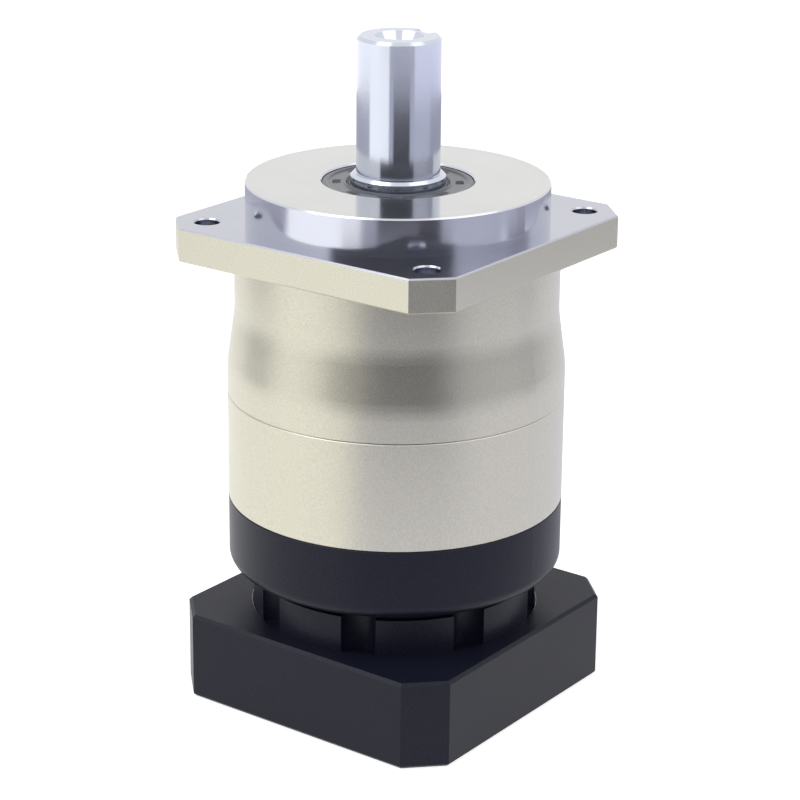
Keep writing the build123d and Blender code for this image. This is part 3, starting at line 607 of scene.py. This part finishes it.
@dataclass
class OutputSeal:
    """Moulded rubber face of the output seal, with two ribs and eight pockets.

    Attributes:
        lip: radius of the lip on the shaft.
        outer: outer radius.
        bottom: lower face's height.
        top: height of the outer rim's top.
        trough: depth of the face between rim and lip.
        face_depth: depth below the top that still counts as the face.
        pockets: number of pockets round the face.
        pocket_centre: radius of the pockets' middle.
        pocket_reach: half their width along the radius.
        pocket_half: half the angle that a pocket spans, in radians.
        pocket_depth: how far they sink.
        pocket_turn: angle of the first pocket from +X, in radians.
        pocket_fade: width of a pocket's sloped end, as a share of its half angle.
        pocket_blur: width of its sloped side along the radius.
    """

    lip: float = 12.53 * MM
    outer: float = 20 * MM
    bottom: float = 134.5 * MM
    top: float = 141.5 * MM
    trough: float = 0.36 * MM
    face_depth: float = 1 * MM
    pockets: int = 8
    pocket_centre: float = 16.1 * MM
    pocket_reach: float = 1.05 * MM
    pocket_half: float = math.radians(3.7)
    pocket_depth: float = 1.2 * MM
    pocket_turn: float = math.radians(-9.0)
    pocket_fade: float = 0.15
    pocket_blur: float = 0.2 * MM

    def profile(self) -> np.ndarray:
        """Works out the seal's outline, from the outer wall's foot inwards.

        Formula: rim points lie inwards from the outer radius and below the top, lip points
        lie outwards from the lip's radius and below the top, and the face between them is
        flat at the trough's depth.

        Returns:
            Array of rows of radius and height, in metres.
        """
        flat = self.trough / MM
        rim = [(0, 0.5), (0.15, 0.12), (0.5, 0), (1.6, 0), (1.75, 0.1), (1.95, 0.32), (2.2, flat)]
        lips = [
            (1.8, 0.3), (1.6, 0.02), (1.25, 0.02), (1.05, 0.35), (0.85, 1.1),
            (0.55, 1.2), (0.35, 0.55), (0.12, 0.4), (0, 0.6),
        ]
        corner = np.array([self.outer, self.top])
        mouth = np.array([self.lip, self.top])
        face = np.linspace(self.outer - 2.4 * MM, self.lip + 1.9 * MM, 26)
        foot = [
            (self.lip, self.bottom + 2 * MM),
            (self.lip + 1.4 * MM, self.bottom),
            (self.outer, self.bottom),
        ]
        return np.concatenate(
            [
                [(self.outer, self.bottom)],
                corner - np.array(rim) * MM,
                np.column_stack([face, np.full(len(face), self.top - self.trough)]),
                mouth + np.array(lips) * (MM, -MM),
                foot,
            ]
        )

    def build(self) -> bpy.types.Object:
        """Turns the profile about the axis and sinks the pockets into it.

        Formula: the height at a radius and an angle is the profile's height, less the
        pocket depth times a smooth window in the radius times a smooth window in the
        angle, repeated for each pocket.

        Returns:
            The seal, riding on the housing.
        """
        outline = self.profile()
        turn = 2 * math.pi
        pitch = turn / self.pockets
        edges = np.array([-1.35, -1.0, -0.9, 0.9, 1.0, 1.35]) * self.pocket_half
        starts = np.arange(self.pockets) * pitch
        between = np.linspace(0.2, 0.8, 6) * pitch
        angles = np.sort(np.mod((starts[:, None] + np.concatenate([edges, between])).ravel(), turn))
        radii, phase = np.meshgrid(outline[:, 0], angles, indexing="ij")
        heights = np.repeat(outline[:, 1:2], len(angles), axis=1)
        nearest = np.abs(np.mod(phase + pitch / 2, pitch) - pitch / 2)
        along = np.clip((1.1 - nearest / self.pocket_half) / self.pocket_fade, 0, 1)
        inward = self.pocket_reach - np.abs(radii - self.pocket_centre)
        across = np.clip(inward / self.pocket_blur, 0, 1)
        upper = heights > self.top - self.face_depth
        heights = heights - self.pocket_depth * along * across * upper
        points = cylinder_points(radii, heights, phase + self.pocket_turn)
        # The face takes the lightened rubber, a painted sheen.
        seal = surface("output_seal_face", points[::-1], RUBBER_PAINTED_SHEEN.material("output_seal_finish"))
        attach(seal, "housing")
        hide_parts("output_seal")
        return seal


@dataclass
class Thread:
    """Internal screw thread drawn on the wall of a drilled hole.

    Attributes:
        name: name of the piece.
        body: body it rides on.
        centre: X and Y of the hole in metres.
        wall: radius of the drilled wall.
        crest: radius of the thread's crests.
        pitch: its pitch.
        bottom: lower end's height.
        top: upper end's height.
    """

    name: str
    body: str
    centre: tuple[float, float]
    wall: float
    crest: float
    pitch: float
    bottom: float
    top: float

    def build(self, finish: bpy.types.Material) -> bpy.types.Object:
        """Makes the thread as one helical surface.

        Formula: the radius is the wall less the thread height times a triangle wave of
        height over pitch minus angle over a full turn, and it fades to the wall at both
        ends.

        Args:
            finish: material of the thread.

        Returns:
            The thread, riding on its body.
        """
        steps = int(round((self.top - self.bottom) / self.pitch * THREAD_ROWS))
        heights, angles = np.meshgrid(
            np.linspace(self.bottom, self.top, steps + 1),
            np.arange(THREAD_COLUMNS) * 2 * math.pi / THREAD_COLUMNS,
            indexing="ij",
        )
        phase = np.mod(heights / self.pitch - angles / (2 * math.pi), 1.0)
        wave = 1 - np.abs(2 * phase - 1)
        ends = np.minimum(heights - self.bottom, self.top - heights) / self.pitch
        radii = self.wall - (self.wall - self.crest) * wave * np.clip(ends, 0, 1)
        points = cylinder_points(radii, heights, angles)
        points[..., 0] += self.centre[0]
        points[..., 1] += self.centre[1]
        piece = surface(self.name, points[::-1], finish)
        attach(piece, self.body)
        return piece


@dataclass
class Threads:
    """Threads of the output shaft's centre hole and the motor screw holes.

    Attributes:
        centre_radii: wall and crest radius of the centre hole's thread.
        centre_pitch: its pitch.
        centre_span: heights of its lower and upper end.
        motor_circle: radius of the circle of motor screw holes.
        motor_holes: their number.
        motor_first: angle of the first one from +X, in degrees.
        motor_radii: wall and crest radius of their threads.
        motor_pitch: their pitch.
        motor_span: heights of their lower and upper end.
    """

    centre_radii: tuple[float, float] = (3.39 * MM, 3.1 * MM)
    centre_pitch: float = 1.25 * MM
    centre_span: tuple[float, float] = (158 * MM, 172.9 * MM)
    motor_circle: float = 45 * MM
    motor_holes: int = 4
    motor_first: float = 45.0
    motor_radii: tuple[float, float] = (2.49 * MM, 2.3 * MM)
    motor_pitch: float = 1.0 * MM
    motor_span: tuple[float, float] = (0.6 * MM, 13 * MM)

    def build(self) -> list[bpy.types.Object]:
        """Makes every thread.

        Returns:
            The threads, the centre hole's first.
        """
        finish = CUT.material("thread_finish")
        threads = [
            Thread(
                "shaft_centre_thread", "output", (0.0, 0.0),
                *self.centre_radii, self.centre_pitch, *self.centre_span,
            )
        ]
        for number in range(self.motor_holes):
            angle = math.radians(self.motor_first + 360 * number / self.motor_holes)
            centre = (self.motor_circle * math.cos(angle), self.motor_circle * math.sin(angle))
            threads.append(
                Thread(
                    f"motor_thread_{number + 1}", "housing", centre,
                    *self.motor_radii, self.motor_pitch, *self.motor_span,
                )
            )
        return [thread.build(finish) for thread in threads]


def assign(node: bpy.types.Object, finish: bpy.types.Material) -> None:
    """Puts one material in every slot of a packed object.

    Args:
        node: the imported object.
        finish: its new material.
    """
    if not node.material_slots:
        node.data.materials.append(finish)
    for slot in node.material_slots:
        slot.material = finish


@dataclass(frozen=True)
class Card:
    """Curved card round the gearbox, seen only in reflections.

    Attributes:
        middle: its angle from the camera in degrees, positive to the right.
        half: half the angle that it spans, in degrees.
        near: radius and height of one edge, in metres.
        far: radius and height of the other edge, in metres.
        shade: how bright it is, where white is 1.
    """

    middle: float
    half: float
    near: tuple[float, float]
    far: tuple[float, float]
    shade: float

    def build(self, number: int, ahead: float) -> bpy.types.Object:
        """Makes the card as a strip between two arcs about the axis.

        Formula: each edge is an arc of its own radius at its own height.

        Args:
            number: number of the card.
            ahead: angle from +X to the camera, in degrees.

        Returns:
            The card.
        """
        angles = np.radians(ahead + self.middle + np.linspace(-self.half, self.half, CARD_POINTS))
        radii, phase = np.meshgrid(np.array([self.near[0], self.far[0]]), angles, indexing="ij")
        heights = np.repeat(np.array([[self.near[1]], [self.far[1]]]), len(angles), axis=1)
        points = cylinder_points(radii, heights, phase)
        index = np.arange(points.shape[0] * points.shape[1]).reshape(points.shape[:2])
        quads = np.stack([index[0, :-1], index[1, :-1], index[1, 1:], index[0, 1:]], axis=-1)
        mesh = bpy.data.meshes.new(f"card_{number}")
        mesh.from_pydata(points.reshape(-1, 3).tolist(), [], quads.tolist())
        graph = Graph(f"card_{number}_finish")
        glow = graph.nodes.new("ShaderNodeEmission")
        colour = (self.shade, self.shade, self.shade * CARD_BLUE, 1.0)
        glow.inputs["Color"].default_value = colour
        mesh.materials.append(graph.finish(glow.outputs[0]))
        card = bpy.data.objects.new(f"card_{number}", mesh)
        bpy.context.scene.collection.objects.link(card)
        card.visible_camera = False
        card.visible_diffuse = False
        card.visible_shadow = False
        return card


# Edges of the strips that cards fill, each as a radius and a height in metres. The shaft
# and the pilot mirror the near walls, the flange the far ones and the body the mats.
SHAFT_WALL = ((0.30, 0.0585), (0.30, 0.100))
PILOT_WALL = ((0.30, 0.0440), (0.30, 0.0585))
FRONT_WALL = ((1.10, 0.02), (1.10, 0.70))
SIDE_WALL = ((1.10, 0.02), (1.10, 0.50))
NEAR_MAT = ((0.10, 0.004), (0.26, 0.004))
FAR_MAT = ((0.26, 0.004), (1.00, 0.004))
WHOLE_MAT = ((0.10, 0.004), (1.00, 0.004))


def towards(turn: float, lift: float) -> Vector:
    """Unit vector from the axis towards a camera or a lamp.

    Args:
        turn: angle from -Y towards +X, in radians.
        lift: height angle, in radians.

    Returns:
        The vector.
    """
    flat = math.cos(lift)
    return Vector((math.sin(turn) * flat, -math.cos(turn) * flat, math.sin(lift)))


@dataclass
class Studio:
    """Camera, pale floor, soft light and the cards that the gearbox mirrors.

    Attributes:
        azimuth: camera's angle from -Y towards +X, in degrees.
        elevation: its height angle in degrees.
        distance: from the target, in metres.
        target: height of the target on the axis, in metres.
        focal: focal length in pixels of an image 800 wide.
        rise: pixels from the image's middle up to the optical axis.
        slide: pixels from the image's middle left to the optical axis.
        roll: turn of the image in degrees.
        frame: width of the image in pixels.
        sensor: width of the sensor in millimetres.
        clip: nearest distance that the camera shows, in metres.
        floor_shade: how much of the light the floor sends back.
        floor_glow: brightness of the floor where it is seen.
        floor_half: half the floor's side, in metres.
        floor_drop: how far the floor lies below the motor face.
        sky_lit: strength of the even light.
        sky_shown: brightness behind the gearbox.
        cards: the cards that stand round the gearbox.
    """

    azimuth: float = 36.543
    elevation: float = 17.768
    distance: float = 0.672255
    target: float = 0.100612
    focal: float = 2528.9
    rise: float = 70.0
    slide: float = 3.31
    roll: float = 0.546
    frame: float = 800.0
    sensor: float = 36.0
    clip: float = 0.01
    floor_shade: float = 0.6
    floor_glow: float = 0.8
    floor_half: float = 4.0
    floor_drop: float = 0.2 * MM
    sky_lit: float = 0.5
    sky_shown: float = 1.0
    cards: Sequence[Card] = (
        Card(8.0, 22.0, *SHAFT_WALL, 0.05),
        Card(62.0, 32.0, *SHAFT_WALL, 0.55),
        Card(137.0, 43.0, *SHAFT_WALL, 0.42),
        Card(-132.0, 48.0, *SHAFT_WALL, 0.50),
        Card(-26.5, 12.5, *PILOT_WALL, 0.07),
        Card(26.0, 11.5, *PILOT_WALL, 0.012),
        Card(60.0, 18.0, *PILOT_WALL, 0.50),
        Card(94.0, 9.5, *PILOT_WALL, 0.10),
        Card(-101.0, 13.0, *PILOT_WALL, 0.10),
        Card(-4.0, 46.0, *FRONT_WALL, 0.08),
        Card(78.0, 36.0, *SIDE_WALL, 0.40),
        Card(8.0, 34.0, *NEAR_MAT, 0.95),
        Card(8.0, 34.0, *FAR_MAT, 0.54),
        Card(100.0, 58.0, *WHOLE_MAT, 0.92),
    )

    def camera(self) -> bpy.types.Object:
        """Makes the camera.

        Returns:
            The camera, set as the scene's own.
        """
        data = bpy.data.cameras.new("camera")
        data.sensor_width = self.sensor
        data.lens = self.focal / self.frame * self.sensor
        data.shift_x = self.slide / self.frame
        data.shift_y = -self.rise / self.frame
        data.clip_start = self.clip
        eye = bpy.data.objects.new("camera", data)
        bpy.context.scene.collection.objects.link(eye)
        turn = math.radians(self.azimuth)
        back = towards(turn, math.radians(self.elevation))
        right = Vector((math.cos(turn), math.sin(turn), 0.0))
        up = back.cross(right)
        roll = math.radians(self.roll)
        across = right * math.cos(roll) + up * math.sin(roll)
        upward = up * math.cos(roll) - right * math.sin(roll)
        place = Vector((0.0, 0.0, self.target)) + back * self.distance
        eye.matrix_world = Matrix(
            (
                (across.x, upward.x, back.x, place.x),
                (across.y, upward.y, back.y, place.y),
                (across.z, upward.z, back.z, place.z),
                (0.0, 0.0, 0.0, 1.0),
            )
        )
        bpy.context.scene.camera = eye
        return eye

    def floor(self) -> bpy.types.Object:
        """Makes the pale floor, which shows white and keeps the shadow.

        Returns:
            The floor.
        """
        graph = Graph("floor_finish")
        path = graph.nodes.new("ShaderNodeLightPath")
        seen = graph.maths("MAXIMUM", path.outputs["Is Camera Ray"], path.outputs["Is Glossy Ray"])
        seen = graph.maths("MAXIMUM", seen, path.outputs["Is Transmission Ray"])
        matt = graph.nodes.new("ShaderNodeBsdfDiffuse")
        matt.inputs["Color"].default_value = (*[self.floor_shade] * 3, 1.0)
        glow = graph.nodes.new("ShaderNodeEmission")
        glow.inputs["Color"].default_value = (1.0, 1.0, 1.0, 1.0)
        graph.feed(glow.inputs["Strength"], graph.maths("MULTIPLY", seen, self.floor_glow))
        both = graph.nodes.new("ShaderNodeAddShader")
        graph.links.new(matt.outputs[0], both.inputs[0])
        graph.links.new(glow.outputs[0], both.inputs[1])
        corners = self.floor_half * np.array([[-1, -1], [1, -1], [1, 1], [-1, 1]])
        points = np.concatenate([corners, np.full((4, 1), -self.floor_drop)], axis=1)
        mesh = bpy.data.meshes.new("floor")
        mesh.from_pydata(points.tolist(), [], [(0, 1, 2, 3)])
        mesh.materials.append(graph.finish(both.outputs[0]))
        floor = bpy.data.objects.new("floor", mesh)
        bpy.context.scene.collection.objects.link(floor)
        return floor

    def world(self) -> None:
        """Lights the scene evenly and shows white behind it.

        Camera and glossy rays meet the shown white, and all others the even light.
        """
        world = bpy.data.worlds.new("world")
        bpy.context.scene.world = world
        world.use_nodes = True
        nodes, links = world.node_tree.nodes, world.node_tree.links
        nodes.clear()
        output = nodes.new("ShaderNodeOutputWorld")
        path = nodes.new("ShaderNodeLightPath")
        share = nodes.new("ShaderNodeMath")
        share.operation = "MAXIMUM"
        links.new(path.outputs["Is Camera Ray"], share.inputs[0])
        links.new(path.outputs["Is Glossy Ray"], share.inputs[1])
        lamp = nodes.new("ShaderNodeBackground")
        lamp.inputs["Color"].default_value = (1.0, 1.0, 1.0, 1.0)
        lamp.inputs["Strength"].default_value = self.sky_lit
        shown = nodes.new("ShaderNodeBackground")
        shown.inputs["Color"].default_value = (1.0, 1.0, 1.0, 1.0)
        shown.inputs["Strength"].default_value = self.sky_shown
        mix = nodes.new("ShaderNodeMixShader")
        links.new(share.outputs[0], mix.inputs[0])
        links.new(lamp.outputs[0], mix.inputs[1])
        links.new(shown.outputs[0], mix.inputs[2])
        links.new(mix.outputs[0], output.inputs["Surface"])

    def lamp(self, name: str, turn: float, lift: float, strength: float, spread: float) -> None:
        """Adds one soft sun.

        Args:
            name: name of the lamp.
            turn: its angle from the camera in degrees, positive to the right.
            lift: its height angle in degrees.
            strength: strength in watts per square metre.
            spread: angle of its disc in degrees.
        """
        data = bpy.data.lights.new(name, "SUN")
        data.energy = strength
        data.angle = math.radians(spread)
        sun = bpy.data.objects.new(name, data)
        bpy.context.scene.collection.objects.link(sun)
        away = towards(math.radians(self.azimuth + turn), math.radians(lift))
        sun.rotation_euler = away.to_track_quat("Z", "Y").to_euler()

    def build(self) -> None:
        """Builds camera, floor, cards, world and lamps, in this order."""
        bpy.context.scene.view_settings.view_transform = "Standard"
        self.camera()
        self.floor()
        for number, card in enumerate(self.cards, 1):
            card.build(number, self.azimuth - 90.0)
        self.world()
        self.lamp("key", turn=-60.0, lift=48.0, strength=1.0, spread=50.0)
        self.lamp("fill", turn=65.0, lift=40.0, strength=0.5, spread=60.0)


def main() -> None:
    """Builds and dresses every sub-assembly in order and reports each one."""
    logging.basicConfig(level=logging.INFO, format="%(name)s: %(message)s")
    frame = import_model()
    nodes = frame["nodes"]
    for assembly in (OutputHousing(), RingGearHousing(), InputSide(), Inside()):
        assembly.dress(nodes)
        LOG.info("dressed %s", type(assembly).__name__)
    seal = OutputSeal().build()
    LOG.info("built %s with %d faces", seal.name, len(seal.data.polygons))
    for thread in Threads().build():
        LOG.info("built %s with %d faces", thread.name, len(thread.data.polygons))
    Studio().build()
    LOG.info("set the studio")


if __name__ == "__main__":
    main()
